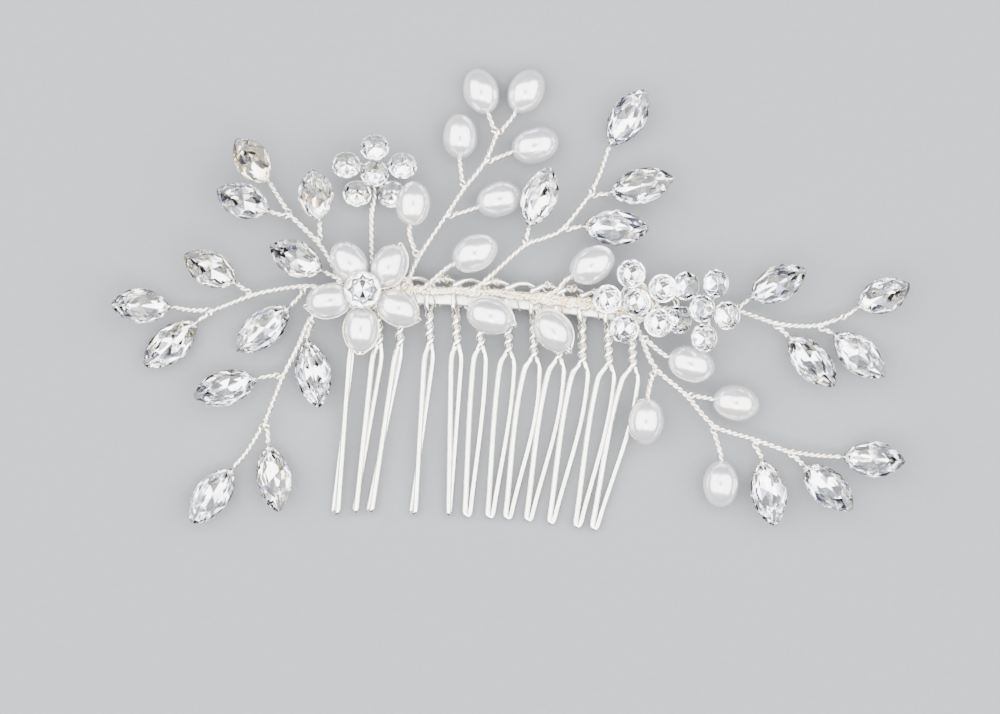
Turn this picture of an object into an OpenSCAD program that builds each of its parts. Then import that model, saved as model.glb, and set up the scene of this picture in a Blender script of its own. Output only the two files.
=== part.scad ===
/* [Comb] */
// Length of the flat bar that carries the teeth
bar_length = 51; // [50.5:0.5:53]
// Height of the bar, along the teeth
bar_height = 3; // [2.6:0.1:3.2]
// Thickness of the bar
bar_thickness = 1; // [0.8:0.1:1.2]
// Radius of the bar's gentle arch in the plane of the comb
bar_arch_radius = 250; // [220:10:600]
// Height of the bar's middle above the surface the comb lies on
bar_rise = 3; // [2.8:0.1:3.2]
// Diameter of the wire that the teeth are bent from
comb_wire_d = 0.9; // [0.7:0.05:0.95]
// Length of a tooth, from the bar's centreline to its tip
tooth_length = 36.2; // [33:0.1:37]
// Length of a tooth's twisted neck, from the bar's centreline
neck_length = 8.5; // [7:0.5:9]

/* [Pearls] */
// Length of a pearl along its drilled axis
pearl_length = 7.6; // [7:0.1:7.8]
// Diameter of a pearl
pearl_d = 5.8; // [5.2:0.1:5.8]
// Diameter of the hole drilled into a pearl
pearl_bore_d = 1; // [0.9:0.05:1.2]
// Distance from the pearl flower's middle to the middle of a petal
petal_ring_r = 6.1; // [6:0.1:6.5]

/* [Crystals] */
// Length of a pointed-oval crystal
leaf_length = 11.5; // [11:0.5:12]
// Width of a pointed-oval crystal
leaf_width = 6; // [5:0.2:6]
// Thickness of a pointed-oval crystal
leaf_thickness = 3.2; // [2.6:0.1:3.4]
// Diameter of a round crystal in the crystal flowers
round_d = 4.8; // [4.2:0.1:4.8]
// Distance from a crystal flower's middle to the middle of an outer crystal
round_ring_r = 4.9; // [4.9:0.1:5.2]
// Diameter of the pearl flower's centre stone
centre_stone_d = 6; // [5.4:0.1:6]

/* [Stem wire] */
// Diameter of the twisted pair of wires that every stem is made of
stem_d = 0.84; // [0.8:0.02:0.86]
// Diameter of one strand, which makes the eyes that hold the crystals
strand_d = 0.44; // [0.3:0.02:0.46]
// Inside radius of an eye, measured to the middle of its strand
eye_r = 1.1; // [1:0.05:1.2]

/* [Hidden] */
// The ornament is laid out square to itself, then turned and moved as one onto the comb.
layout_turn = 3.7;
layout_shift = [-4, 1.4, 0];

// Ornament crystals: name, base x, y, z, heading, tilt up of the tip, turn about the long axis.
CRYSTALS = [
    ["crystal_upper_left_1", -37, 19.5, 2.8, 127, 44, 10],
    ["crystal_upper_left_2", -37, 14.5, 2.6, 158, 40, -8],
    ["crystal_upper_left_3", -28.5, 13, 3, 96, 45, 5],
    ["crystal_inner_left", -28, 4.5, 3.2, 154, 36, 0],
    ["crystal_left_1", -42.5, 2.5, 2.4, 150, 36, -6],
    ["crystal_left_2", -53.5, -1.5, 2, 178, 36, 8],
    ["crystal_left_3", -49, -4, 2.2, 220, 4, 0],
    ["crystal_left_4", -33.5, -1.5, 2.8, 220, 4, -6],
    ["crystal_lower_left_1", -39, -13.5, 2.4, 196, 22, 6],
    ["crystal_lower_left_2", -30.5, -7, 2.8, 280, 4, 0],
    ["crystal_lower_left_3", -43, -28.5, 2.2, 233, 10, -8],
    ["crystal_lower_left_4", -37, -24.5, 2.2, 279, 10, 8],
    ["crystal_upper_right_1", 20, 25.5, 2.6, 57, 19, 0],
    ["crystal_upper_right_2", 20, 17.5, 2.8, 13, 20, -8],
    ["crystal_upper_right_3", 15.5, 12, 3.4, 357, 18, 6],
    ["crystal_upper_right_4", 6.5, 12, 4.2, 70, 27, 8],
    ["crystal_right_1", 43.5, 0, 2.8, 28, 29, 0],
    ["crystal_right_2", 61.5, -1.5, 2, 25, 40, 8],
    ["crystal_right_3", 50, -6.5, 2.4, 312, 16, -6],
    ["crystal_right_4", 57.5, -6, 2.2, 319, 20, 6],
    ["crystal_lower_right_1", 59, -26.5, 2, 356, 30, 0],
    ["crystal_lower_right_2", 52.5, -28, 2.2, 317, 23, -6],
    ["crystal_lower_right_3", 45.5, -27, 2.4, 280, 13, 6],
];

// Single pearls: name, middle x, y, z, heading from the drilled end to the far end.
PEARLS = [
    ["pearl_top_1", -1.5, 34.5, 3, 108],
    ["pearl_top_2", 6, 34.5, 3, 62],
    ["pearl_top_3", -5, 27, 3.4, 90],
    ["pearl_top_4", 7.5, 25.5, 3.3, 17],
    ["pearl_top_5", 1.5, 16.5, 3.8, 20],
    ["pearl_top_6", -12.8, 15.6, 6.5, 84],
    ["pearl_low_1", -2.5, 7.5, 5.6, 28],
    ["pearl_low_2", 17, 5.5, 5.4, 30],
    ["pearl_bar_1", 0, -3, 7.4, 160],
    ["pearl_bar_2", 10.5, -5.5, 7, 130],
    ["pearl_lower_right_1", 33.5, -11, 4.8, 340],
    ["pearl_lower_right_2", 41, -17.5, 3.8, 350],
    ["pearl_lower_right_3", 26, -20.5, 4.8, 265],
    ["pearl_lower_right_4", 38.5, -31, 3.1, 270],
];

// Comb teeth from left to right: place along the bar, extra length of the neck, lean of the loop,
// how far the right leg stands from the left one sideways and in front of it, first where the loop
// opens and then at its tip, and how much wider the loop bows in between. A negative width crosses
// the legs.
TEETH = [
    [-23, -0.4, 2, -0.4, 1.1, 0.8, 1],
    [-18.5, -0.4, 4.5, -1.5, 1, 0.3, 1],
    [-15, -0.4, 6.5, -0.9, 1, 0.6, 0.9],
    [-10, -0.4, 2, -1.4, 1, 0.7, 0.9],
    [-5.5, -0.4, -1, 1.7, -0.6, 0.2, -1],
    [-1.5, -0.3, 0.9, 2.1, -0.8, 0.9, -0.3, 0.4],
    [3.2, 0.3, 2.8, 2.5, -0.8, 0.9, -0.3, 0.55],
    [7.5, 0.8, 5.6, 2.7, -0.9, 0.9, -0.3, 1.1],
    [11.6, 0.7, 6.9, 2.7, -0.9, 0.9, -0.3, 0.95],
    [15.6, 0.8, 7.3, 2.8, -0.9, 0.8, -0.3, 0.85],
    [20, 0.7, 7.2, 2.8, -0.9, 0.9, -0.3, 0.75],
    [24.1, 0.4, 9.8, 2.8, -0.9, 0.9, -0.3, 0.9],
];
// Sideways run of a neck, the drop of the strands from the bar to where they meet, the drop of
// the loop's shoulders below the neck, and the depth of the bend at its tip.
neck_shift = 0.5;
meet_drop = 1.2;
shoulder_drop = 3;
tip_bend = 0.4;
// Where the legs bow widest, as a share of the way from shoulder to tip, and the share of the bow
// that the left leg takes.
bow_place = 0.35;
left_bow = 1 / 3;
tip_rise = comb_wire_d / 2 + 0.55;
wire_z_front = bar_rise + bar_thickness / 2 + comb_wire_d / 2;
wire_z_back = bar_rise - bar_thickness / 2 - comb_wire_d / 2;
arch_height = 1.35;

// Stems cross the bar in front of the comb wire, and are bound to it there.
stem_z = wire_z_front + comb_wire_d / 2 + stem_d / 2 + 0.02;
binding_d = 0.3;
binding_slant = 14;

// The pearl flower lies over the bar's left end. Petals: heading of the middle, its distance from
// the usual ring, its height, and heading of the pearl's own axis.
pearl_flower = [-20.8, 0.8, 7.5];
PETALS = [
    [48, 0, 0, 64],
    [117, -0.4, -0.5, 124],
    [192, 0, 0, 192],
    [264, 0, 0, 268],
    [336, 0, 0, 332],
];
// The cup with the centre stone sits a little off the flower's middle.
cup_shift = [-0.25, 0.5, 0];
cup_floor = 0.9;
cup_h = 1.9;

// Crystal flowers: name, middle x, y, z, tilt about X, tilt about Y, heading of the first crystal.
FLOWERS = [
    ["crystal_flower_upper", -19.2, 20.7, 5.6, 32, 0, 17],
    ["crystal_flower_middle", 24.4, -0.8, 7.1, 0, 0, 29],
    ["crystal_flower_right", 35.2, -1.8, 8.2, 0, -33, 58],
];
petals = 5;
crown_h = 0.9;
pavilion_h = 1.7;
wire_sides = 8;
comb_sides = 6;

// Height of the bar's centreline above its middle, at x along it.
function arch_y(x) = sqrt(bar_arch_radius * bar_arch_radius - x * x) - bar_arch_radius;
// A unit vector from a heading in the layout plane and a tilt out of it.
function ahead(turn, tilt = 0) = [cos(turn) * cos(tilt), sin(turn) * cos(tilt), sin(tilt)];
function row_at(list, name) = list[search([name], list)[0]];
// The point under a crystal's eye where its stem begins, and the point inside a pearl's drilled
// end where its stem stops.
function crystal_base(c) = [c[1], c[2], c[3]];
function crystal_stem(name) = let (c = row_at(CRYSTALS, name))
    crystal_base(c) - eye_r * ahead(c[4], c[5]);
function pearl_base(p) = [p[1], p[2], p[3]] - pearl_length / 2 * ahead(p[4]);
function pearl_stem(name) = let (p = row_at(PEARLS, name))
    [pearl_base(p) - 1.2 * ahead(p[4]), pearl_base(p) + 1.5 * ahead(p[4])];

// Puts the ornament's layout onto the comb.
module in_layout() {
    translate(layout_shift) rotate(layout_turn) children();
}

// Moves the comb with the ornament, so that the whole part is centred on the origin.
module in_comb() {
    translate(layout_shift) children();
}

// A straight piece of wire, a little overlong so that bent runs join up.
module rod(from, to, d, sides = wire_sides) {
    run = to - from;
    length = norm(run);
    overlap = d / 5;
    translate(from)
        rotate([0, acos(run.z / length), atan2(run.y, run.x)])
            translate([0, 0, -overlap])
                hull()
                    cylinder(d = d, h = length + 2 * overlap, $fn = sides);
}

module comb_rod(from, to) {
    rod(from, to, comb_wire_d, comb_sides);
}

module wire(points, d, sides = wire_sides) {
    for (i = [1:len(points) - 1]) rod(points[i - 1], points[i], d, sides);
}

// The single-strand eye that passes through a crystal's hole and round its pointed end.
module eye(name) {
    c = row_at(CRYSTALS, name);
    translate(crystal_base(c))
        rotate([0, 0, c[4]])
            rotate([0, -c[5], 0])
                rotate([c[6] + 90, 0, 0])
                    rotate_extrude($fn = 12)
                        translate([eye_r, 0])
                            circle(d = strand_d, $fn = 6);
}

// A run of stem that ends in a crystal's eye.
module stem_to_crystal(points, name) {
    wire(concat(points, [crystal_stem(name)]), stem_d);
    eye(name);
}

// A run of stem that ends inside a pearl's hole.
module stem_to_pearl(points, name) {
    wire(concat(points, pearl_stem(name)), stem_d);
}

// ---- Comb ----

module comb_bar() {
    color("whitesmoke") in_comb()
        intersection() {
            translate([0, -bar_arch_radius, bar_rise - bar_thickness / 2])
                difference() {
                    cylinder(r = bar_arch_radius + bar_height / 2, h = bar_thickness, $fn = 360);
                    translate([0, 0, -1])
                        cylinder(r = bar_arch_radius - bar_height / 2, h = bar_thickness + 2,
                                 $fn = 360);
                }
            translate([-bar_length / 2, -2 * bar_height, 0])
                cube([bar_length, 4 * bar_height, 2 * bar_rise]);
        }
}

// One tooth: the wire comes down behind the bar, twists with itself in the neck, makes the long
// hairpin, and goes back up in front of the bar.
module tooth(t) {
    y = arch_y(t[0]);
    bar_top = [t[0], y + bar_height / 2, 0];
    bar_foot = [t[0], y - bar_height / 2, 0];
    neck_top = [t[0], bar_foot.y - meet_drop, bar_rise];
    neck_end = [t[0] + neck_shift, y - neck_length - t[1], bar_rise];
    reach = tooth_length - neck_length - t[1];
    run = [-reach * sin(t[2]), -reach * cos(t[2]), tip_rise - bar_rise];
    tip = neck_end + run;
    half_bend = [t[5] / 4, 0, t[6] / 4];
    bend = tip - [0, tip_bend, 0];
    for (s = [-1, 1]) {
        strand = [0, 0, s > 0 ? wire_z_front : wire_z_back];
        shoulder = neck_end + shoulder_drop * run / norm(run) + s * [t[3] / 2, 0, t[4] / 2];
        foot = tip + 2 * s * half_bend;
        comb_rod(bar_top + strand, bar_foot + strand);
        comb_rod(bar_foot + strand, neck_top);
        comb_rod(neck_end, shoulder);
        if (len(t) > 7) {
            bow = s * t[7] * (s > 0 ? 1 - left_bow : left_bow);
            widest = shoulder + bow_place * (foot - shoulder) + [bow, 0, 0];
            comb_rod(shoulder, widest);
            comb_rod(widest, foot);
        } else {
            comb_rod(shoulder, foot);
        }
        comb_rod(foot, bend + s * half_bend);
    }
    comb_rod(bend - half_bend, bend + half_bend);
    rod(neck_top, neck_end, 1.9 * comb_wire_d, comb_sides);
}

module comb_wire() {
    color("silver") in_comb()
        for (t = TEETH) tooth(t);
}

// The same wire between two teeth: over the bar's top edge, from its front to its back.
module comb_wire_arches() {
    color("silver") in_comb()
        for (i = [1:len(TEETH) - 1]) {
            from_x = TEETH[i - 1][0];
            to_x = TEETH[i][0];
            lift = bar_height / 2 + comb_wire_d / 5 + 0.05;
            mid = (from_x + to_x) / 2;
            crown = arch_y(mid) + bar_height / 2 + arch_height;
            third = (to_x - from_x) / 4;
            wire([
                [from_x, arch_y(from_x) + lift + comb_wire_d / 4, wire_z_front],
                [mid - third, crown, bar_rise + 0.5],
                [mid + third, crown, bar_rise - 0.5],
                [to_x, arch_y(to_x) + lift + comb_wire_d / 4, wire_z_back],
            ], comb_wire_d, comb_sides);
        }
}

// Fine wire wound round the bar and the stem ends, two turns in each gap between teeth.
module binding_wire() {
    top = stem_z + stem_d / 2;
    foot = bar_rise - bar_thickness / 2;
    inner_h = bar_height + 0.5;
    color("gainsboro") in_comb()
        for (i = [1:len(TEETH) - 1], s = [-0.55, 0.55]) {
            x = (TEETH[i - 1][0] + TEETH[i][0]) / 2 + s;
            translate([x, arch_y(x), foot - 0.05])
                rotate([0, 0, binding_slant])
                    translate([-binding_d / 2, 0, 0])
                        difference() {
                            translate([0, -inner_h / 2 - binding_d, -binding_d])
                                cube([binding_d, inner_h + 2 * binding_d,
                                      top - foot + 0.1 + 2 * binding_d]);
                            translate([-1, -inner_h / 2, 0])
                                cube([2 + binding_d, inner_h, top - foot + 0.1]);
                        }
        }
}

// ---- Crystals ----

// A pointed oval, as wide as w, with its points at x = 0 and x = length.
module pointed_oval(length, w, h, sides = 6) {
    linear_extrude(h)
        polygon([
            for (i = [0:sides]) [length * (1 - cos(180 * i / sides)) / 2,
                                 w / 2 * sin(180 * i / sides)],
            for (i = [1:sides - 1]) [length * (1 + cos(180 * i / sides)) / 2,
                                     -w / 2 * sin(180 * i / sides)],
        ]);
}

// Flat table, sloping crown facets, a thin girdle, and a keeled back, drilled near the base end.
module crystal(c) {
    crown = 0.45 * leaf_thickness;
    girdle = 0.3;
    keel = leaf_thickness - crown;
    table_length = 0.5 * leaf_length;
    color("aliceblue") in_layout()
        translate(crystal_base(c))
            rotate([0, 0, c[4]])
                rotate([0, -c[5], 0])
                    rotate([c[6], 0, 0])
                        difference() {
                            hull() {
                                translate([0, 0, -girdle / 2])
                                    pointed_oval(leaf_length, leaf_width, girdle);
                                translate([(leaf_length - table_length) / 2, 0, crown - 0.05])
                                    pointed_oval(table_length, 0.45 * leaf_width, 0.05, 4);
                                translate([0.3 * leaf_length, -0.05, -keel])
                                    cube([0.4 * leaf_length, 0.1, 0.05]);
                            }
                            translate([eye_r, 0, -leaf_thickness])
                                cylinder(d = strand_d + 0.5, h = 2 * leaf_thickness, $fn = 32);
                        }
}

// A round brilliant: eight-sided table, crown, girdle and a pointed back. Its girdle is at z = 0.
module round_crystal(d, crown = crown_h, pavilion = pavilion_h) {
    girdle = 0.2;
    hull() {
        translate([0, 0, -girdle / 2]) cylinder(d = d, h = girdle, $fn = 16);
        translate([0, 0, crown - 0.05]) cylinder(d = 0.56 * d, h = 0.05, $fn = 8);
        translate([0, 0, -pavilion]) cylinder(d = 0.12 * d, h = 0.05, $fn = 8);
    }
}

// Places its children at a crystal flower's middle, facing the way the flower faces.
module at_flower(f) {
    in_layout()
        translate([f[1], f[2], f[3]])
            rotate([f[4], f[5], 0])
                children();
}

module crystal_flower(f) {
    color("aliceblue") at_flower(f) {
        round_crystal(round_d - 0.1);
        for (i = [0:petals - 1])
            rotate(f[6] + i * 360 / petals)
                translate([round_ring_r, 0, 0])
                    round_crystal(round_d);
    }
}

// A star of wire behind the round crystals: a hub and a short post under each.
module flower_star(f) {
    behind = -pavilion_h - strand_d;
    at_flower(f)
        for (i = [0:petals - 1]) {
            out = round_ring_r * ahead(f[6] + i * 360 / petals);
            rod([0, 0, behind], out + [0, 0, behind], strand_d);
            rod(out + [0, 0, behind], out + [0, 0, -pavilion_h - 0.05], strand_d);
        }
}

module crystal_flower_wires() {
    color("khaki") {
        flower_star(FLOWERS[1]);
        flower_star(FLOWERS[2]);
    }
}

// ---- Pearls ----

// Half of a pearl's outline, drilled from its base end to bore_end along the axis.
module pearl_profile(bore_end) {
    half = pearl_length / 2;
    r = pearl_d / 2;
    bore = pearl_bore_d / 2;
    start = asin(bore / r);
    steps = 8;
    polygon(concat(
        [for (i = [0:steps]) let (a = start + i * (180 - start) / steps)
            [max(r * sin(a), 0), -half * cos(a)]],
        [[0, bore_end - half], [bore, bore_end - half]]
    ));
}

// A pearl whose middle is at the origin, with its drilled end at the start of the X axis.
module drilled_pearl(bore_end) {
    rotate([0, 90, 0]) rotate_extrude($fn = 48) pearl_profile(bore_end);
}

module pearl(p) {
    color("ivory") in_layout()
        translate([p[1], p[2], p[3]])
            rotate(p[4])
                drilled_pearl(0.7 * pearl_length);
}

function petal_middle(p) =
    pearl_flower + (petal_ring_r + p[1]) * ahead(p[0]) + [0, 0, p[2]];

module pearl_flower_petals() {
    color("ivory") in_layout()
        for (p = PETALS)
            translate(petal_middle(p))
                rotate(p[3])
                    drilled_pearl(0.7 * pearl_length);
}

// A hub behind the centre stone with a wire into each petal.
module pearl_flower_wire() {
    color("khaki") in_layout()
        for (p = PETALS)
            rod(pearl_flower, petal_middle(p) - (pearl_length / 2 - 1.5) * ahead(p[3]), stem_d);
}

module pearl_flower_cup() {
    wall = 0.15;
    r = centre_stone_d / 2;
    color("silver") in_layout()
        translate(pearl_flower + cup_shift + [0, 0, cup_floor])
            rotate_extrude($fn = 64)
                polygon([
                    [0, 0],
                    [0.4 * r, 0],
                    [r + wall, cup_h],
                    [r + wall, cup_h + 0.4],
                    [r + 0.03, cup_h + 0.4],
                    [r + 0.03, cup_h + 0.1],
                    [0.4 * r, 1.6 * wall],
                    [0, 1.6 * wall],
                ]);
}

module pearl_flower_stone() {
    color("aliceblue") in_layout()
        translate(pearl_flower + cup_shift + [0, 0, cup_floor + cup_h + 0.1])
            round_crystal(centre_stone_d, 1, 1.6);
}

// ---- Wire sprays ----

module spray_wire_upper_left() {
    fork_1 = [-33, 13.5, 3];
    fork_2 = [-28.5, 9, 3.4];
    color("silver") in_layout() {
        wire([fork_1, fork_2, [-26.5, 6, 3.7], [-24.3, 2.2, 4]], stem_d);
        stem_to_crystal([fork_1], "crystal_upper_left_1");
        stem_to_crystal([fork_1], "crystal_upper_left_2");
        stem_to_crystal([fork_2], "crystal_upper_left_3");
    }
}

module stem_wire_inner_left() {
    color("silver") in_layout()
        stem_to_crystal([[-24.3, 1.3, 4], [-25.5, 3.2, 3.8]], "crystal_inner_left");
}

module spray_wire_left() {
    fork_1 = [-46, -2, 2.6];
    fork_2 = [-39.5, 0.5, 3];
    fork_3 = [-30.5, 2, 3.6];
    color("silver") in_layout() {
        wire([fork_1, fork_2, [-35, 1.5, 3.3], fork_3, [-27.5, 1.5, 3.8], [-24.3, 0.4, 4]],
             stem_d);
        stem_to_crystal([fork_1, [-50, -2, 2.4]], "crystal_left_2");
        stem_to_crystal([fork_1], "crystal_left_3");
        stem_to_crystal([fork_2], "crystal_left_1");
        stem_to_crystal([fork_3], "crystal_left_4");
    }
}

module spray_wire_lower_left() {
    fork_1 = [-37.5, -20.5, 2.6];
    fork_2 = [-34.5, -13, 3];
    fork_3 = [-29.5, -3, 3.7];
    color("silver") in_layout() {
        wire([fork_1, fork_2, [-32, -8, 3.3], fork_3, [-24.3, -0.5, 4]], stem_d);
        stem_to_crystal([fork_1, [-40.5, -25.5, 2.5]], "crystal_lower_left_3");
        stem_to_crystal([fork_1], "crystal_lower_left_4");
        stem_to_crystal([fork_2], "crystal_lower_left_1");
        stem_to_crystal([fork_3], "crystal_lower_left_2");
    }
}

module stem_wire_upper_flower() {
    f = FLOWERS[0];
    color("silver") {
        in_layout()
            wire([
                [-19.5, 2.4, 4],
                [-19.8, 13, 3.2],
                [-19.3, 17, 2.2],
                [f[1], 19.2, 2.6],
                [f[1], f[2] + 1, f[3] - pavilion_h - 0.3],
            ], stem_d);
        flower_star(f);
    }
}

module spray_wire_top() {
    fork_1 = [-12, 6.5, 5];
    fork_2 = [-7.5, 13.5, 4.8];
    fork_3 = [-4.5, 18, 4.4];
    fork_4 = [-1, 22.5, 4];
    fork_5 = [1, 27, 3.6];
    color("silver") in_layout() {
        wire([[-16, 1.2, stem_z], [-13.8, 2.7, stem_z], fork_1, fork_2, fork_3, fork_4, fork_5],
             stem_d);
        stem_to_pearl([fork_5], "pearl_top_1");
        stem_to_pearl([fork_5], "pearl_top_2");
        stem_to_pearl([fork_3], "pearl_top_3");
        stem_to_pearl([fork_4], "pearl_top_4");
        stem_to_pearl([fork_2], "pearl_top_5");
        stem_to_pearl([fork_1], "pearl_top_6");
    }
}

module spray_wire_upper_right() {
    fork_1 = [5.5, 8.5, 4.8];
    fork_2 = [12, 11.5, 4.3];
    fork_3 = [16.5, 17, 3.8];
    color("silver") in_layout() {
        wire([[-3.5, 1, stem_z], [-1, 2.7, stem_z], fork_1, [9, 10, 4.6], fork_2, fork_3],
             stem_d);
        stem_to_crystal([fork_3], "crystal_upper_right_1");
        stem_to_crystal([fork_3], "crystal_upper_right_2");
        stem_to_crystal([fork_2], "crystal_upper_right_3");
        stem_to_crystal([fork_1], "crystal_upper_right_4");
    }
}

module spray_wire_right() {
    start = [40.5, -2, 3.2];
    fork_1 = [47, -4, 3];
    fork_2 = [54.5, -4.5, 2.8];
    color("silver") in_layout() {
        wire([[21, -1.4, stem_z], [27, -1.6, 4.3], [33, -1.8, 3.4], start, fork_1,
              [51, -4.6, 2.9], fork_2, [58, -3.5, 2.6]], stem_d);
        stem_to_crystal([[58, -3.5, 2.6]], "crystal_right_2");
        stem_to_crystal([start], "crystal_right_1");
        stem_to_crystal([fork_1], "crystal_right_3");
        stem_to_crystal([fork_2], "crystal_right_4");
    }
}

module spray_wire_lower_right() {
    start = [23.5, -2.4, stem_z];
    fork_0 = [25, -6, 4.8];
    fork_1 = [27.5, -11.5, 4.6];
    fork_2 = [32.5, -16, 4.2];
    fork_3 = [37, -21, 3.8];
    fork_4 = [44, -23.5, 3.2];
    fork_5 = [49.5, -25.5, 2.8];
    color("silver") in_layout() {
        wire([start, fork_0, fork_1, fork_2, fork_3, [40.5, -22.5, 3.5], fork_4, fork_5], stem_d);
        stem_to_pearl([fork_0], "pearl_lower_right_1");
        stem_to_pearl([fork_1], "pearl_lower_right_3");
        stem_to_pearl([fork_2], "pearl_lower_right_2");
        stem_to_pearl([fork_3], "pearl_lower_right_4");
        stem_to_crystal([fork_4], "crystal_lower_right_3");
        stem_to_crystal([fork_5], "crystal_lower_right_2");
        stem_to_crystal([fork_5, [54.5, -26.2, 2.4]], "crystal_lower_right_1");
    }
}

module stem_wires_low_pearls() {
    color("silver") in_layout() {
        stem_to_pearl([[-12, 1, stem_z], [-9.8, 2.7, 5]], "pearl_low_1");
        stem_to_pearl([[9.5, 0.4, stem_z], [11.5, 1.6, 5]], "pearl_low_2");
    }
}

// These stems lie flat on the bar between two teeth, and turn back up into their pearls from below.
module stem_wires_bar_pearls() {
    under_z = bar_rise + bar_thickness / 2 + stem_d / 2 + 0.03;
    color("silver") in_layout() {
        stem_to_pearl([[-0.2, 0.4, under_z], [-0.4, -1.9, under_z], [1.2, -3.4, 4.1],
                       [3.3, -4.2, 5.1], [4.5, -4.7, 6.3]], "pearl_bar_1");
        stem_to_pearl([[8.6, -0.2, under_z], [8.5, -2.5, under_z], [9.3, -5.1, 3.6],
                       [9.8, -7.2, 3.7], [11.5, -8.7, 4.5], [13.5, -9.2, 5.9]], "pearl_bar_2");
    }
}

comb_bar();
comb_wire();
comb_wire_arches();
binding_wire();
for (c = CRYSTALS) crystal(c);
for (p = PEARLS) pearl(p);
pearl_flower_petals();
pearl_flower_cup();
pearl_flower_stone();
pearl_flower_wire();
for (f = FLOWERS) crystal_flower(f);
crystal_flower_wires();
stem_wire_upper_flower();
stem_wire_inner_left();
spray_wire_upper_left();
spray_wire_left();
spray_wire_lower_left();
spray_wire_top();
spray_wire_upper_right();
spray_wire_right();
spray_wire_lower_right();
stem_wires_low_pearls();
stem_wires_bar_pearls();
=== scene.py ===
"""Looks for a bridal hair comb of silver wire, with sprays of pearls and cut crystals."""
import math
import random

import bmesh
import bpy
import numpy as np
from mathutils import Matrix, Vector


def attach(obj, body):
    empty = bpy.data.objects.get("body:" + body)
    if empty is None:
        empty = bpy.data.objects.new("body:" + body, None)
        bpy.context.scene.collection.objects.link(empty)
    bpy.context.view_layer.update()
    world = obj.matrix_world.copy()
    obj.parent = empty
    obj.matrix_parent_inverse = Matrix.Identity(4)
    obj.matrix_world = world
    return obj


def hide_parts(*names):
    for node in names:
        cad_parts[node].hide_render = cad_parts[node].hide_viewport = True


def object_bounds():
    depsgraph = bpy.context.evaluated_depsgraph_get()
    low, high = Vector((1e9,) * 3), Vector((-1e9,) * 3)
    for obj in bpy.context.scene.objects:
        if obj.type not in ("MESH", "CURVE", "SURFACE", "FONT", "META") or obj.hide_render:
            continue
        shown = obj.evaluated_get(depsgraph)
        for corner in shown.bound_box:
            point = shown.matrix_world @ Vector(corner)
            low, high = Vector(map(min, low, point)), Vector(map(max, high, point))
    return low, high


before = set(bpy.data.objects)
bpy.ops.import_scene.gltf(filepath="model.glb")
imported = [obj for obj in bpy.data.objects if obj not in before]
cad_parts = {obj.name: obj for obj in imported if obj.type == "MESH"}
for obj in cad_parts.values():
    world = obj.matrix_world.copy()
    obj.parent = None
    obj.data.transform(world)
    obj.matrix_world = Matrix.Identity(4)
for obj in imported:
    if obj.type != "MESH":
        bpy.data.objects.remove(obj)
cad_low, cad_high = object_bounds()

# ---------------------------------------------------------------- sizes, in millimetres
MM = 0.001

# Comb
BAR_LENGTH, BAR_HEIGHT, BAR_THICKNESS, BAR_EDGE_R = 51, 3, 1, 0.32
BAR_ARCH_RADIUS = 250
BAR_RISE = 3
COMB_WIRE_D = 0.9
TOOTH_LENGTH, NECK_LENGTH, NECK_SHIFT = 36.2, 8.5, 0.5
MEET_DROP, SHOULDER_DROP, TIP_BEND = 1.2, 3, 0.4
TIP_RISE = COMB_WIRE_D / 2 + 0.55
ARCH_HEIGHT = 1.35
STRAND_SHIFT, NECK_PITCH = 0.5, 3.2
WIRE_Z_FRONT = BAR_RISE + (BAR_THICKNESS + COMB_WIRE_D) / 2
WIRE_Z_BACK = BAR_RISE - (BAR_THICKNESS + COMB_WIRE_D) / 2

# Stems: a single strand, each strand of a twisted pair and the pair's pitch, the pair as a whole
STRAND_D, TWIST_D, STEM_PITCH = 0.44, 0.5, 2.2
STEM_D = 0.84
# Stems that cross the comb's wires, and stems that lie on the bar itself
STEM_Z = WIRE_Z_FRONT + COMB_WIRE_D / 2 + STEM_D / 2 + 0.02
BAR_STEM_Z = 3.95
# How far on from a fork the two strands part, and how much, as a share of their usual distance
FORK_GAP_AT, FORK_GAP = 1.0, 1.1
# A stem's straight run before its pearl, the shorter one for pearls on the bar, and inside it
STEM_STRAIGHT, STEM_STRAIGHT_BAR, STEM_INSIDE = 1.2, 0.35, 1.5

# Wires: the binding, the loops round pearls, the place of a twisted strand as a share of its
# diameter, and a cut end's length and width as shares of the radius
FINE_D, PEARL_WIRE_D = 0.28, 0.3
STRAND_PLACE = 0.49
WIRE_END, WIRE_END_R = 0.35, 0.6

# Pearls and crystals
PEARL_LENGTH, PEARL_D, PEARL_BORE_D = 7.6, 5.8, 1.0
LEAF_LENGTH, LEAF_WIDTH, LEAF_MIDDLE = 11.5, 6, 0.46 * 11.5
LEAF_CROWN, LEAF_PAVILION = 1.44, 1.76
ROUND_D, ROUND_RING_R, ROUND_CROWN, ROUND_PAVILION = 4.8, 4.9, 0.9, 1.7
CENTRE_STONE_D, CENTRE_CROWN, CENTRE_PAVILION = 6, 1, 1.6
GIRDLE_HALF = 0.12
CUP_FLOOR, CUP_H, CUP_SHIFT = 0.9, 1.9, (-0.25, 0.5, 0)
# Cuts: the table's length and width, then for two belts of back facets their length, width and
# depth, then the depth of the point. Sizes are shares of the outline, depths of the pavilion.
LEAF_CUT = ((0.64, 0.58), ((0.84, 0.84, 0.26), (0.5, 0.5, 0.64)), 1)
ROUND_CUT = ((0.56, 0.56), ((0.84, 0.84, 0.17), (0.5, 0.5, 0.38)), 0.56)
CENTRE_CUT = ((0.56, 0.56), ((0.84, 0.84, 0.19), (0.48, 0.48, 0.44)), 0.66)
# Round crystals round the middle one of each crystal flower
PETALS = 5

# Camera, in metres, and the point of the layout that it looks at
CAMERA_DISTANCE, VIEW_WIDTH = 0.8, 0.1667
VIEW_MIDDLE = (1.67, -9.83, 4)

# Depth of the surface grain, in metres, and where champagne starts on the foil's scale of shades
GRAIN_DEPTH = 0.00003
CHAMPAGNE = 0.73

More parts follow.
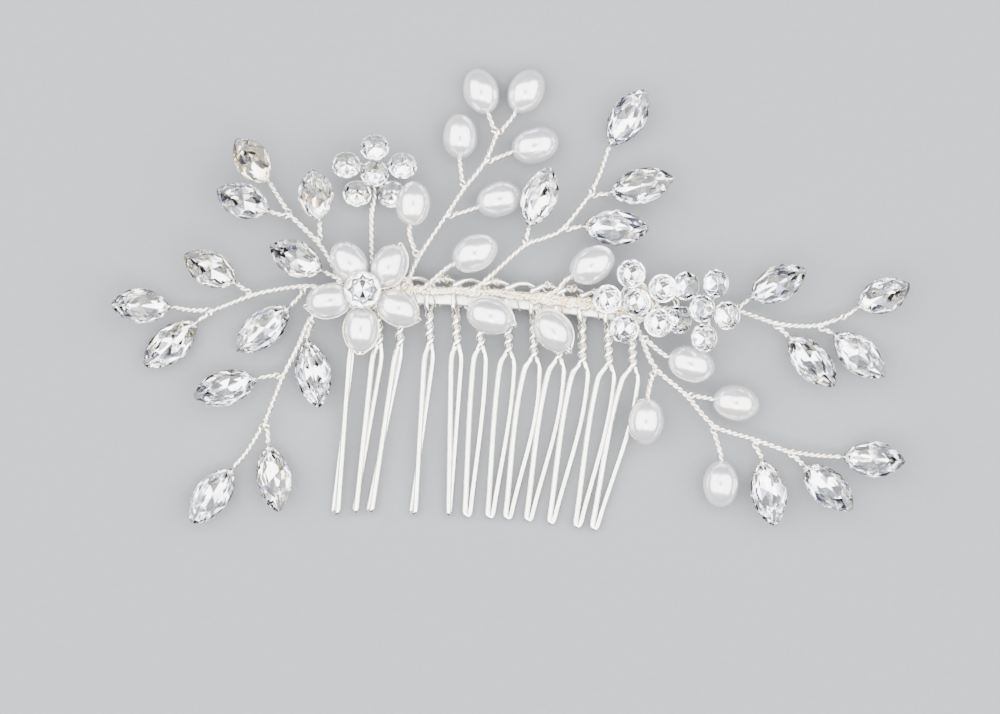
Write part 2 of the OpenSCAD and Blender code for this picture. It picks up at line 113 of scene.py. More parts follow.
# The ornament is laid out square to itself, then turned and moved as one onto the comb.
LAYOUT_TURN = math.radians(3.7)
LAYOUT_SHIFT = np.array([-4, 1.4, 0])

# Crystals: name, base x, y, z, heading, tilt up of the tip, turn about the long axis.
CRYSTALS = [
    ("crystal_upper_left_1", -37, 19.5, 2.8, 127, 44, 10),
    ("crystal_upper_left_2", -37, 14.5, 2.6, 158, 40, -8),
    ("crystal_upper_left_3", -28.5, 13, 3, 96, 45, 5),
    ("crystal_inner_left", -28, 4.5, 3.2, 154, 36, 0),
    ("crystal_left_1", -42.5, 2.5, 2.4, 150, 36, -6),
    ("crystal_left_2", -53.5, -1.5, 2, 178, 36, 8),
    ("crystal_left_3", -49, -4, 2.2, 220, 4, 0),
    ("crystal_left_4", -33.5, -1.5, 2.8, 220, 4, -6),
    ("crystal_lower_left_1", -39, -13.5, 2.4, 196, 22, 6),
    ("crystal_lower_left_2", -30.5, -7, 2.8, 280, 4, 0),
    ("crystal_lower_left_3", -43, -28.5, 2.2, 233, 10, -8),
    ("crystal_lower_left_4", -37, -24.5, 2.2, 279, 10, 8),
    ("crystal_upper_right_1", 20, 25.5, 2.6, 57, 19, 0),
    ("crystal_upper_right_2", 20, 17.5, 2.8, 13, 20, -8),
    ("crystal_upper_right_3", 15.5, 12, 3.4, 357, 18, 6),
    ("crystal_upper_right_4", 6.5, 12, 4.2, 70, 27, 8),
    ("crystal_right_1", 43.5, 0, 2.8, 28, 29, 0),
    ("crystal_right_2", 61.5, -1.5, 2, 25, 40, 8),
    ("crystal_right_3", 50, -6.5, 2.4, 312, 16, -6),
    ("crystal_right_4", 57.5, -6, 2.2, 319, 20, 6),
    ("crystal_lower_right_1", 59, -26.5, 2, 356, 30, 0),
    ("crystal_lower_right_2", 52.5, -28, 2.2, 317, 23, -6),
    ("crystal_lower_right_3", 45.5, -27, 2.4, 280, 13, 6),
]

# Crystals with some champagne-coloured back facets, and the share of their back facets that look
# champagne-coloured.
WARM_CRYSTALS = {"crystal_upper_left_1": 0.55, "crystal_upper_left_3": 0.3, "crystal_left_1": 0.25}

# Single pearls: name, middle x, y, z, heading from the drilled end to the far end.
PEARLS = [
    ("pearl_top_1", -1.5, 34.5, 3, 108),
    ("pearl_top_2", 6, 34.5, 3, 62),
    ("pearl_top_3", -5, 27, 3.4, 90),
    ("pearl_top_4", 7.5, 25.5, 3.3, 17),
    ("pearl_top_5", 1.5, 16.5, 3.8, 20),
    ("pearl_top_6", -12.8, 15.6, 6.5, 84),
    ("pearl_low_1", -2.5, 7.5, 5.6, 28),
    ("pearl_low_2", 17, 5.5, 5.4, 30),
    ("pearl_bar_1", 0, -3, 7.4, 160),
    ("pearl_bar_2", 10.5, -5.5, 7, 130),
    ("pearl_lower_right_1", 33.5, -11, 4.8, 340),
    ("pearl_lower_right_2", 41, -17.5, 3.8, 350),
    ("pearl_lower_right_3", 26, -20.5, 4.8, 265),
    ("pearl_lower_right_4", 38.5, -31, 3.1, 270),
]

# Pearls that are larger than the usual size.
LARGER_PEARLS = {
    "pearl_top_1": 1.02, "pearl_top_2": 1.02, "pearl_top_4": 1.05, "pearl_top_5": 1.02,
    "pearl_low_1": 1.07, "pearl_low_2": 1.06, "pearl_bar_1": 1.05, "pearl_bar_2": 1.03,
    "pearl_lower_right_1": 1.06, "pearl_lower_right_2": 1.03, "pearl_lower_right_3": 1.03,
    "pearl_lower_right_4": 1.03,
}

# Teeth: place along the bar, extra length of the neck, lean of the loop in degrees, how far the
# right leg stands beside and in front of the left one where the loop opens, the same at its tip,
# and how much wider the loop bows in between. A negative width crosses the legs.
TEETH = [
    (-23, -0.4, 2, -0.4, 1.1, 0.8, 1, 0),
    (-18.5, -0.4, 4.5, -1.5, 1, 0.3, 1, 0),
    (-15, -0.4, 6.5, -0.9, 1, 0.6, 0.9, 0),
    (-10, -0.4, 2, -1.4, 1, 0.7, 0.9, 0),
    (-5.5, -0.4, -1, 1.7, -0.6, 0.2, -1, 0),
    (-1.5, -0.3, 0.9, 2.1, -0.8, 0.9, -0.3, 0.4),
    (3.2, 0.3, 2.8, 2.5, -0.8, 0.9, -0.3, 0.55),
    (7.5, 0.8, 5.6, 2.7, -0.9, 0.9, -0.3, 1.1),
    (11.6, 0.7, 6.9, 2.7, -0.9, 0.9, -0.3, 0.95),
    (15.6, 0.8, 7.3, 2.8, -0.9, 0.8, -0.3, 0.85),
    (20, 0.7, 7.2, 2.8, -0.9, 0.9, -0.3, 0.75),
    (24.1, 0.4, 9.8, 2.8, -0.9, 0.9, -0.3, 0.9),
]

# The pearl flower's petals: heading of the middle, distance from the usual ring, height, heading of
# the pearl's own axis, and the sides its fine wire comes back along.
PEARL_FLOWER, PETAL_RING_R = (-20.8, 0.8, 7.5), 6.1
PETAL_PEARLS = [
    (48, 0, 0, 64, (-1,)),
    (117, -0.4, -0.5, 124, ()),
    (192, 0, 0, 192, (1,)),
    (264, 0, 0, 268, (-1, 1)),
    (336, 0, 0, 332, (-1,)),
]

# Crystal flowers: name, middle x, y, z, tilt about X, tilt about Y, heading of the first crystal.
FLOWERS = [
    ("crystal_flower_upper", -19.2, 20.7, 5.6, 32, 0, 17),
    ("crystal_flower_middle", 24.4, -0.8, 7.1, 0, 0, 29),
    ("crystal_flower_right", 35.2, -1.8, 8.2, 0, -33, 58),
]

# Stems, as the CAD routes them: node, trunks, then the branches, each with the piece at its end.
STEMS = [
    ("spray_wire_upper_left",
     [[(-33, 13.5, 3), (-28.5, 9, 3.4), (-26.5, 6, 3.7), (-24.3, 2.2, 4)]],
     [([(-33, 13.5, 3)], "crystal_upper_left_1"),
      ([(-33, 13.5, 3)], "crystal_upper_left_2"),
      ([(-28.5, 9, 3.4)], "crystal_upper_left_3")]),
    ("stem_wire_inner_left",
     [],
     [([(-24.3, 1.3, 4), (-25.5, 3.2, 3.8)], "crystal_inner_left")]),
    ("spray_wire_left",
     [[(-46, -2, 2.6), (-39.5, 0.5, 3), (-35, 1.5, 3.3), (-30.5, 2, 3.6), (-27.5, 1.5, 3.8),
       (-24.3, 0.4, 4)]],
     [([(-46, -2, 2.6), (-50, -2, 2.4)], "crystal_left_2"),
      ([(-46, -2, 2.6)], "crystal_left_3"),
      ([(-39.5, 0.5, 3)], "crystal_left_1"),
      ([(-30.5, 2, 3.6)], "crystal_left_4")]),
    ("spray_wire_lower_left",
     [[(-37.5, -20.5, 2.6), (-34.5, -13, 3), (-32, -8, 3.3), (-29.5, -3, 3.7),
       (-24.3, -0.5, 4)]],
     [([(-37.5, -20.5, 2.6), (-40.5, -25.5, 2.5)], "crystal_lower_left_3"),
      ([(-37.5, -20.5, 2.6)], "crystal_lower_left_4"),
      ([(-34.5, -13, 3)], "crystal_lower_left_1"),
      ([(-29.5, -3, 3.7)], "crystal_lower_left_2")]),
    ("stem_wire_upper_flower",
     [[(-19.5, 2.4, 4), (-19.8, 13, 3.2), (-19.3, 17, 2.2), (-19.2, 19.2, 2.6),
       (-19.2, 21.7, 3.6)]],
     []),
    ("spray_wire_top",
     [[(-16, 1.2, STEM_Z), (-13.8, 2.7, STEM_Z), (-12, 6.5, 5), (-7.5, 13.5, 4.8),
       (-4.5, 18, 4.4), (-1, 22.5, 4), (1, 27, 3.6)]],
     [([(1, 27, 3.6)], "pearl_top_1"),
      ([(1, 27, 3.6)], "pearl_top_2"),
      ([(-4.5, 18, 4.4)], "pearl_top_3"),
      ([(-1, 22.5, 4)], "pearl_top_4"),
      ([(-7.5, 13.5, 4.8)], "pearl_top_5"),
      ([(-12, 6.5, 5)], "pearl_top_6")]),
    ("spray_wire_upper_right",
     [[(-3.5, 1, STEM_Z), (-1, 2.7, STEM_Z), (5.5, 8.5, 4.8), (9, 10, 4.6), (12, 11.5, 4.3),
       (16.5, 17, 3.8)]],
     [([(16.5, 17, 3.8)], "crystal_upper_right_1"),
      ([(16.5, 17, 3.8)], "crystal_upper_right_2"),
      ([(12, 11.5, 4.3)], "crystal_upper_right_3"),
      ([(5.5, 8.5, 4.8)], "crystal_upper_right_4")]),
    ("spray_wire_right",
     [[(21, -1.4, STEM_Z), (27, -1.6, 4.3), (33, -1.8, 3.4), (40.5, -2, 3.2), (47, -4, 3),
       (51, -4.6, 2.9), (54.5, -4.5, 2.8), (58, -3.5, 2.6)]],
     [([(58, -3.5, 2.6)], "crystal_right_2"),
      ([(40.5, -2, 3.2)], "crystal_right_1"),
      ([(47, -4, 3)], "crystal_right_3"),
      ([(54.5, -4.5, 2.8)], "crystal_right_4")]),
    ("spray_wire_lower_right",
     [[(23.5, -2.4, STEM_Z), (25, -6, 4.8), (27.5, -11.5, 4.6), (32.5, -16, 4.2),
       (37, -21, 3.8), (40.5, -22.5, 3.5), (44, -23.5, 3.2), (49.5, -25.5, 2.8)]],
     [([(25, -6, 4.8)], "pearl_lower_right_1"),
      ([(27.5, -11.5, 4.6)], "pearl_lower_right_3"),
      ([(32.5, -16, 4.2)], "pearl_lower_right_2"),
      ([(37, -21, 3.8)], "pearl_lower_right_4"),
      ([(44, -23.5, 3.2)], "crystal_lower_right_3"),
      ([(49.5, -25.5, 2.8)], "crystal_lower_right_2"),
      ([(49.5, -25.5, 2.8), (54.5, -26.2, 2.4)], "crystal_lower_right_1")]),
    ("stem_wires_low_pearls",
     [],
     [([(-12, 1, STEM_Z), (-9.8, 2.7, 5)], "pearl_low_1"),
      ([(9.5, 0.4, STEM_Z), (11.5, 1.6, 5)], "pearl_low_2")]),
    ("stem_wires_bar_pearls",
     [],
     [([(-0.2, 0.4, BAR_STEM_Z), (-0.4, -1.9, BAR_STEM_Z), (1.2, -3.4, 4.1), (3.3, -4.2, 5.1),
        (4.1, -4.5, 6.3)], "pearl_bar_1"),
      ([(8.6, -0.2, BAR_STEM_Z), (8.5, -2.5, BAR_STEM_Z), (9.3, -5.1, 3.6), (9.8, -7.2, 3.7),
        (11.5, -8.7, 4.5), (13.1, -8.9, 5.9)], "pearl_bar_2")]),
]

# Tangles of fine wire: middle x, y, reach, lowest and highest z, loops, seed.
PEARL_FLOWER_TANGLES = [
    (*PEARL_FLOWER[:2], 3.4, 5.2, 7, 7, 1),
    (-14.6, 1.6, 1.9, 4.4, 5.6, 6, 2),
]
CRYSTAL_FLOWER_TANGLES = [
    (*FLOWERS[1][1:3], 3.6, 4.7, 5.3, 5, 3),
    (29.5, -1.3, 2.2, 4.2, 5, 4, 4),
]

CRYSTAL = {crystal[0]: crystal for crystal in CRYSTALS}
PEARL = {pearl[0]: pearl for pearl in PEARLS}

rng = random.Random(11)


# ---------------------------------------------------------------- placing
def on_layout(points):
    """Layout points, in millimetres, as points of the row frame."""
    points = np.atleast_2d(np.array(points, float))
    c, s = math.cos(LAYOUT_TURN), math.sin(LAYOUT_TURN)
    turned = np.column_stack([
        c * points[:, 0] - s * points[:, 1],
        s * points[:, 0] + c * points[:, 1],
        points[:, 2],
    ])
    return turned + LAYOUT_SHIFT


def on_comb(points):
    """Points about the middle of the bar as points of the row frame."""
    return np.atleast_2d(np.array(points, float)) + LAYOUT_SHIFT


def arch_y(x):
    """Height of the bar's centreline above its middle."""
    return math.sqrt(BAR_ARCH_RADIUS ** 2 - x * x) - BAR_ARCH_RADIUS


def ahead(turn, tilt=0):
    """A unit vector from a heading in the layout plane and a tilt out of it, in degrees."""
    turn, tilt = math.radians(turn), math.radians(tilt)
    return np.array([math.cos(turn) * math.cos(tilt), math.sin(turn) * math.cos(tilt),
                     math.sin(tilt)])


def turned(heading, tilt=0, roll=0):
    """Rotation that heads the X axis, tips it up and rolls it, as 3 by 3 numbers."""
    spin = (Matrix.Rotation(math.radians(heading), 3, "Z")
            @ Matrix.Rotation(math.radians(-tilt), 3, "Y")
            @ Matrix.Rotation(math.radians(roll), 3, "X"))
    return np.array(spin)


def flower_turn(flower):
    """Rotation that tips a crystal flower, as 3 by 3 numbers."""
    tilt_x, tilt_y = flower[4:6]
    spin = (Matrix.Rotation(math.radians(tilt_y), 3, "Y")
            @ Matrix.Rotation(math.radians(tilt_x), 3, "X"))
    return np.array(spin)


def facing(spin):
    """Where a turned stone's table faces in the row frame."""
    return on_layout(spin[:, 2:].T)[0] - on_layout([0, 0, 0])[0]


# ---------------------------------------------------------------- mesh helpers
class Shape:
    """Vertices and faces gathered for one piece, in millimetres in the row frame."""

    def __init__(self):
        self.verts = []
        self.faces = []

    def add(self, verts, faces):
        start = len(self.verts)
        self.verts += [tuple(v) for v in verts]
        self.faces += [[start + i for i in f] for f in faces]


def make_piece(name, shape, materials, nodes=(), smooth=True):
    """Builds the piece, in metres, and ties it to the frame."""
    mesh = bpy.data.meshes.new(name)
    mesh.from_pydata([Vector(v) * MM for v in shape.verts], [], shape.faces)
    work = bmesh.new()
    work.from_mesh(mesh)
    bmesh.ops.recalc_face_normals(work, faces=work.faces)
    work.to_mesh(mesh)
    work.free()
    for m in materials:
        mesh.materials.append(m)
    for polygon in mesh.polygons:
        polygon.use_smooth = smooth
    piece = bpy.data.objects.new(name, mesh)
    bpy.context.scene.collection.objects.link(piece)
    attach(piece, "root")
    if nodes:
        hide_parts(*nodes)
    return piece


def smooth_path(points, step):
    """A smooth line through the points, in about equal steps."""
    p = np.array(points, float)
    p = np.vstack([2 * p[0] - p[1], p, 2 * p[-1] - p[-2]])
    parts = 16
    t = np.linspace(0, 1, parts, endpoint=False)[:, None]
    dense = []
    for a, b, c, d in zip(p, p[1:], p[2:], p[3:]):
        dense.append(0.5 * (2 * b + (c - a) * t + (2 * a - 5 * b + 4 * c - d) * t ** 2
                            + (3 * b - a - 3 * c + d) * t ** 3))
    dense = np.vstack(dense + [p[-2:-1]])
    run = distances(dense)
    count = max(2, round(run[-1] / step))
    even = np.linspace(0, run[-1], count + 1)
    return np.column_stack([np.interp(even, run, dense[:, k]) for k in range(3)])


def distances(path):
    """How far along the path each of its points is."""
    return np.concatenate([[0], np.cumsum(np.linalg.norm(np.diff(path, axis=0), axis=1))])


def directions(path):
    """Along each point of a path: its direction and two cross directions that never spin."""
    along = np.gradient(path, axis=0)
    along /= np.linalg.norm(along, axis=1)[:, None]
    start = np.cross(along[0], [0, 0, 1])
    if np.linalg.norm(start) < 0.1:
        start = np.cross(along[0], [0, 1, 0])
    across = [start / np.linalg.norm(start)]
    for direction in along[1:]:
        side = across[-1] - direction * (across[-1] @ direction)
        across.append(side / np.linalg.norm(side))
    across = np.array(across)
    return along, across, np.cross(along, across)


def add_tube(shape, path, diameter, sides=8):
    """Sweeps a round wire along a path, with slightly rounded cut ends."""
    radius = diameter / 2
    along, across, up = directions(path)
    cut = WIRE_END * radius
    ends = [path[0] - cut * along[0], path[-1] + cut * along[-1]]
    line = np.vstack([ends[:1], path, ends[1:]])
    across = np.vstack([across[:1], across, across[-1:]])
    up = np.vstack([up[:1], up, up[-1:]])
    radii = np.full(len(line), radius)
    radii[[0, -1]] = WIRE_END_R * radius
    angle = np.arange(sides) * 2 * math.pi / sides
    ring = (np.cos(angle)[None, :, None] * across[:, None]
            + np.sin(angle)[None, :, None] * up[:, None])
    verts = (line[:, None] + radii[:, None, None] * ring).reshape(-1, 3)
    faces = []
    for i in range(len(line) - 1):
        for j in range(sides):
            k = (j + 1) % sides
            faces.append([i * sides + j, i * sides + k, (i + 1) * sides + k,
                          (i + 1) * sides + j])
    last = (len(line) - 1) * sides
    faces.append(list(range(sides - 1, -1, -1)))
    faces.append([last + j for j in range(sides)])
    shape.add(verts, faces)


def add_stem(shape, points, bow=0.0, pitch=STEM_PITCH, fork=False):
    """Two strands twisted together by hand along a line of points. bow bends a straight stem by
    that share of its length."""
    points = np.array(points, float)
    if len(points) == 2 and bow:
        run = points[1] - points[0]
        side = np.array([-run[1], run[0], 0])
        points = np.vstack([points[0], (points[0] + points[1]) / 2 + bow * side, points[1]])
    path = smooth_path(points, 0.2)
    _, across, up = directions(path)
    run = distances(path)
    phase = 0 if fork else rng.uniform(0, 2 * math.pi)
    uneven = 0.5 * np.sin(2 * math.pi * run / rng.uniform(9, 14) + phase)
    reach = np.full(len(run), STRAND_PLACE * TWIST_D)
    if fork:
        parted = FORK_GAP * np.exp(-((run - FORK_GAP_AT) / 0.4) ** 2)
        reach *= np.clip(run / 0.6, 0.1, 1) + parted
    for strand in (0, math.pi):
        angle = (phase + strand + uneven - 2 * math.pi * run / pitch)[:, None]
        helix = path + reach[:, None] * (np.cos(angle) * across + np.sin(angle) * up)
        add_tube(shape, helix, TWIST_D)


def add_lathe(shape, profile, segments, place):
    """Turns a profile of (radius, height) about the Z axis. place maps the points to the frame."""
    verts, rows = [], []
    for radius, height in profile:
        if radius < 1e-6:
            rows.append([len(verts)] * segments)
            verts.append((0, 0, height))
            continue
        rows.append(list(range(len(verts), len(verts) + segments)))
        for i in range(segments):
            a = 2 * math.pi * i / segments
            verts.append((radius * math.cos(a), radius * math.sin(a), height))
    faces = []
    for low, high in zip(rows, rows[1:]):
        for i in range(segments):
            j = (i + 1) % segments
            corners = [low[i], low[j], high[j], high[i]]
            faces.append(list(dict.fromkeys(corners)))
    shape.add(place(np.array(verts)), faces)


def add_winding(shape, path, radius, turns):
    """Fine wire wound round a path."""
    run = distances(path)
    _, across, up = directions(path)
    count = max(8, int(turns * 14))
    even = np.linspace(0, run[-1], count)
    phase = rng.uniform(0, 2 * math.pi)
    angle = phase + 2 * math.pi * turns * even / run[-1]
    reach = radius * (1 + 0.12 * np.sin(3.3 * angle + phase))

    def at(values):
        return np.column_stack([np.interp(even, run, values[:, k]) for k in range(3)])

    helix = at(path) + reach[:, None] * (np.cos(angle)[:, None] * at(across)
                                         + np.sin(angle)[:, None] * at(up))
    add_tube(shape, helix, FINE_D, 6)


# ---------------------------------------------------------------- materials
def new_material(name):
    material = bpy.data.materials.new(name)
    material.use_nodes = True
    tree = material.node_tree
    return material, tree, tree.nodes["Principled BSDF"]


def add_noise(tree, scale, detail=3.0, stretch=(1, 1, 1)):
    """Solid noise in the piece's own coordinates, scale in spots per metre."""
    place = tree.nodes.new("ShaderNodeTexCoord")
    mapping = tree.nodes.new("ShaderNodeMapping")
    mapping.inputs["Scale"].default_value = stretch
    noise = tree.nodes.new("ShaderNodeTexNoise")
    noise.inputs["Scale"].default_value = scale
    noise.inputs["Detail"].default_value = detail
    tree.links.new(place.outputs["Object"], mapping.inputs["Vector"])
    tree.links.new(mapping.outputs["Vector"], noise.inputs["Vector"])
    return noise.outputs["Fac"]


def add_ramp(tree, value, stops, interpolation="LINEAR"):
    ramp = tree.nodes.new("ShaderNodeValToRGB")
    ramp.color_ramp.interpolation = interpolation
    elements = ramp.color_ramp.elements
    while len(elements) < len(stops):
        elements.new(0.5)
    for element, (position, colour) in zip(elements, stops):
        element.position = position
        element.color = (*colour, 1)
    tree.links.new(value, ramp.inputs["Fac"])
    return ramp.outputs["Color"]


def add_range(tree, value, low, high):
    """Spreads noise, which mostly lies between 0.3 and 0.7, from low to high."""
    spread = tree.nodes.new("ShaderNodeMapRange")
    spread.inputs["From Min"].default_value = 0.3
    spread.inputs["From Max"].default_value = 0.7
    spread.inputs["To Min"].default_value = low
    spread.inputs["To Max"].default_value = high
    tree.links.new(value, spread.inputs["Value"])
    return spread.outputs["Result"]


def add_bump(tree, value, strength, shader):
    bump = tree.nodes.new("ShaderNodeBump")
    bump.inputs["Strength"].default_value = strength
    bump.inputs["Distance"].default_value = GRAIN_DEPTH
    tree.links.new(value, bump.inputs["Height"])
    tree.links.new(bump.outputs["Normal"], shader.inputs["Normal"])


def metal(name, bright, dull, rough, stretch=(1, 1, 1)):
    """Plated wire or strip: patches of brighter and duller plating, and a drawn surface."""
    material, tree, shader = new_material(name)
    patches = add_noise(tree, 700, 4)
    fine = add_noise(tree, 5200, 2, stretch)
    tree.links.new(add_ramp(tree, patches, [(0.34, dull), (0.6, bright)]),
                   shader.inputs["Base Color"])
    tree.links.new(add_range(tree, patches, rough[1], rough[0]), shader.inputs["Roughness"])
    add_bump(tree, fine, 0.25, shader)
    shader.inputs["Metallic"].default_value = 1
    return material


def pearl_material():
    """Nacre: a lustrous creamy white with faint lilac clouds, under a thin clear skin."""
    material, tree, shader = new_material("pearl_nacre")
    clouds = add_noise(tree, 260, 3)
    skin = add_noise(tree, 2600, 3)
    tints = [(0.3, (0.68, 0.67, 0.76)), (0.5, (0.78, 0.77, 0.79)), (0.72, (0.84, 0.80, 0.74))]
    tree.links.new(add_ramp(tree, clouds, tints), shader.inputs["Base Color"])
    tree.links.new(add_range(tree, skin, 0.19, 0.25), shader.inputs["Roughness"])
    add_bump(tree, skin, 0.08, shader)
    shader.inputs["Metallic"].default_value = 0.65
    shader.inputs["Coat Weight"].default_value = 0.8
    shader.inputs["Coat Roughness"].default_value = 0.1
    shader.inputs["Coat IOR"].default_value = 1.6
    return material


def glass_material():
    material, tree, shader = new_material("crystal_glass")
    polish = add_noise(tree, 900, 3)
    tree.links.new(add_ramp(tree, polish, [(0.35, (0.97, 0.98, 1.0)), (0.65, (1, 1, 1))]),
                   shader.inputs["Base Color"])
    tree.links.new(add_range(tree, polish, 0.0, 0.03), shader.inputs["Roughness"])
    shader.inputs["Transmission Weight"].default_value = 1
    shader.inputs["IOR"].default_value = 1.56
    return material


def foil_painted_reflection_material():
    """Silvered back of a crystal: each facet has its own shade in the attribute facet. The silver
    reflects for real, but its grey and slate shades are painted reflection: facets darkened as if
    they mirrored dark surroundings.
    """
    material, tree, shader = new_material("crystal_foil_painted_reflections")
    facet = tree.nodes.new("ShaderNodeAttribute")
    facet.attribute_name = "facet"
    # Painted reflection: the grey, slate and dark slate stops dim facets as if they mirrored dark
    # surroundings; the white stops are bright silver and the champagne stop is a warm tint.
    shades = [
        (0.0, (0.98, 0.98, 0.98)),
        (0.50, (0.86, 0.87, 0.91)),
        (0.68, (0.55, 0.57, 0.66)),
        (CHAMPAGNE, (0.95, 0.86, 0.68)),
        (0.80, (0.98, 0.98, 0.98)),
        (0.94, (0.22, 0.23, 0.30)),
    ]
    tree.links.new(add_ramp(tree, facet.outputs["Fac"], shades, "CONSTANT"),
                   shader.inputs["Base Color"])
    tree.links.new(add_range(tree, add_noise(tree, 1500, 2), 0.04, 0.12),
                   shader.inputs["Roughness"])
    shader.inputs["Metallic"].default_value = 1
    return material


def floor_material():
    material, tree, shader = new_material("studio_floor")
    grain = add_noise(tree, 900, 3)
    greys = [(0.3, (0.164, 0.170, 0.179)), (0.7, (0.174, 0.180, 0.189))]
    tree.links.new(add_ramp(tree, grain, greys), shader.inputs["Base Color"])
    shader.inputs["Roughness"].default_value = 0.6
    return material


SILVER_BAR = metal("bar_silver", (0.98, 0.97, 0.95), (0.90, 0.88, 0.84), (0.36, 0.48),
                   (0.05, 1, 1))
SILVER_COMB = metal("comb_silver", (0.98, 0.97, 0.94), (0.86, 0.83, 0.77), (0.08, 0.18))
SILVER_STEM = metal("stem_silver", (0.98, 0.96, 0.91), (0.84, 0.79, 0.68), (0.12, 0.26))
FINE_WIRE = metal("fine_wire_plating", (0.97, 0.93, 0.82), (0.80, 0.70, 0.48), (0.16, 0.32))
CUP_METAL = metal("cup_silver", (0.98, 0.97, 0.95), (0.88, 0.86, 0.82), (0.08, 0.20))
NACRE = pearl_material()
GLASS = glass_material()
FOIL_WITH_PAINTED_REFLECTIONS = foil_painted_reflection_material()


# ---------------------------------------------------------------- comb
def make_bar():
    """A strip with rounded edges, bent to a gentle arch."""
    corners = []
    for side_y, side_z, first in ((1, 1, 0), (-1, 1, 90), (-1, -1, 180), (1, -1, 270)):
        for step in range(5):
            a = math.radians(first + step * 22.5)
            corners.append((side_y * (BAR_HEIGHT / 2 - BAR_EDGE_R) + BAR_EDGE_R * math.cos(a),
                            side_z * (BAR_THICKNESS / 2 - BAR_EDGE_R) + BAR_EDGE_R * math.sin(a)))
    shape = Shape()
    half, rows = BAR_LENGTH / 2, 120
    stations = np.concatenate([[-half, -half + 0.08], np.linspace(-half + 0.3, half - 0.3, rows),
                               [half - 0.08, half]])
    shrink = [0.8, 0.95] + [1] * rows + [0.95, 0.8]
    verts = []
    for x, size in zip(stations, shrink):
        # The strip was bent by hand, so its faces are very slightly uneven.
        lean = x / BAR_ARCH_RADIUS
        dent = 0.025 * math.sin(1.9 * x) + 0.02 * math.sin(0.83 * x + 1)
        for y, z in corners:
            verts.append((x + size * y * lean, arch_y(x) + size * y + dent * 0.5,
                          BAR_RISE + size * z + dent * (z > 0)))
    n = len(corners)
    faces = [[i * n + j, i * n + (j + 1) % n, (i + 1) * n + (j + 1) % n, (i + 1) * n + j]
             for i in range(len(stations) - 1) for j in range(n)]
    faces.append(list(range(n)))
    faces.append([(len(stations) - 1) * n + j for j in range(n)])
    shape.add(on_comb(verts), faces)
    make_piece("comb_bar_strip", shape, [SILVER_BAR], ["comb_bar"])


def tooth_points(tooth):
    """The wire of one tooth: down behind the bar, twisted with itself, round the long hairpin
    and back up in front of the bar."""
    x, extra, lean, open_w, open_depth, tip_w, tip_depth, bow = tooth
    lean = math.radians(lean)
    y = arch_y(x)
    neck_top = np.array([x, y - BAR_HEIGHT / 2 - MEET_DROP, BAR_RISE])
    neck_end = np.array([x + NECK_SHIFT, y - NECK_LENGTH - extra, BAR_RISE])
    reach = TOOTH_LENGTH - NECK_LENGTH - extra
    run = np.array([-reach * math.sin(lean), -reach * math.cos(lean), TIP_RISE - BAR_RISE])
    tip = neck_end + run
    shoulder = neck_end + SHOULDER_DROP * run / np.linalg.norm(run)
    half_open = np.array([open_w / 2, 0, open_depth / 2])
    half_tip = np.array([tip_w / 2, 0, tip_depth / 2])
    radius = STRAND_PLACE * COMB_WIRE_D
    # The back strand's angle round the neck, first at the bar and then where the loop opens. After
    # an odd number of half turns it goes on into the other leg.
    begin = math.atan2(-0.9, 0.5)
    first = (math.atan2(-open_depth, -0.5 * open_w) - begin) % (2 * math.pi)
    wanted = 2 * math.pi * (neck_top[1] - neck_end[1]) / NECK_PITCH
    half_turns = round((wanted - first) / math.pi)
    swap = -1 if half_turns % 2 else 1

    def strand(side):
        z = WIRE_Z_BACK if side < 0 else WIRE_Z_FRONT
        points = [(x - side * STRAND_SHIFT, y + BAR_HEIGHT / 2 + 0.1, z),
                  (x - side * STRAND_SHIFT, y, z),
                  (x - side * STRAND_SHIFT, y - BAR_HEIGHT / 2 - 0.1, z)]
        steps = 30
        for i in range(steps + 1):
            share = i / steps
            angle = begin + share * (first + half_turns * math.pi) + (math.pi if side > 0 else 0)
            offset = np.array([math.cos(angle), 0, math.sin(angle)])
            points.append(neck_top + share * (neck_end - neck_top) + radius * offset)
        leg = side * swap
        for share, spread in ((0.2, 0.48), (0.42, 0.76), (0.7, 0.94)):
            points.append(neck_end + share * (shoulder - neck_end) + leg * spread * half_open)
        for share in (0.02, 0.1, 0.22, 0.35, 0.5, 0.68, 0.86, 0.985):
            bulge = bow * 6.75 * share * (1 - share) ** 2 * (2 / 3 if leg > 0 else 1 / 3)
            width = (1 - share) * half_open + share * half_tip + (bulge, 0, 0)
            points.append(shoulder + share * (tip - shoulder) + leg * width)
        return points

    turn = [tip + 0.72 * leg * half_tip - np.array([0, TIP_BEND * (0.35 if leg else 1), 0])
            for leg in (-swap, 0, swap)]
    return strand(-1) + turn + strand(1)[::-1]


def make_comb_wire():
    """One wire makes all the teeth, and goes over the bar's top edge between them."""
    points = []
    for tooth, following in zip(TEETH, TEETH[1:] + [None]):
        points += tooth_points(tooth)
        if following is None:
            break
        start, end = tooth[0] - STRAND_SHIFT, following[0] + STRAND_SHIFT
        top = arch_y((start + end) / 2) + BAR_HEIGHT / 2
        span = end - start
        points += [
            (start + 0.12 * span, top + 0.5 * ARCH_HEIGHT, WIRE_Z_FRONT - 0.1),
            (start + 0.32 * span, top + 0.9 * ARCH_HEIGHT, BAR_RISE + 0.5),
            (start + 0.50 * span, top + ARCH_HEIGHT, BAR_RISE),
            (start + 0.68 * span, top + 0.9 * ARCH_HEIGHT, BAR_RISE - 0.5),
            (start + 0.88 * span, top + 0.5 * ARCH_HEIGHT, WIRE_Z_BACK + 0.1),
        ]
    shape = Shape()
    add_tube(shape, smooth_path(on_comb(points), 0.26), COMB_WIRE_D, 12)
    make_piece("comb_wire_bent", shape, [SILVER_COMB],
               ["comb_wire", "comb_wire_arches"])


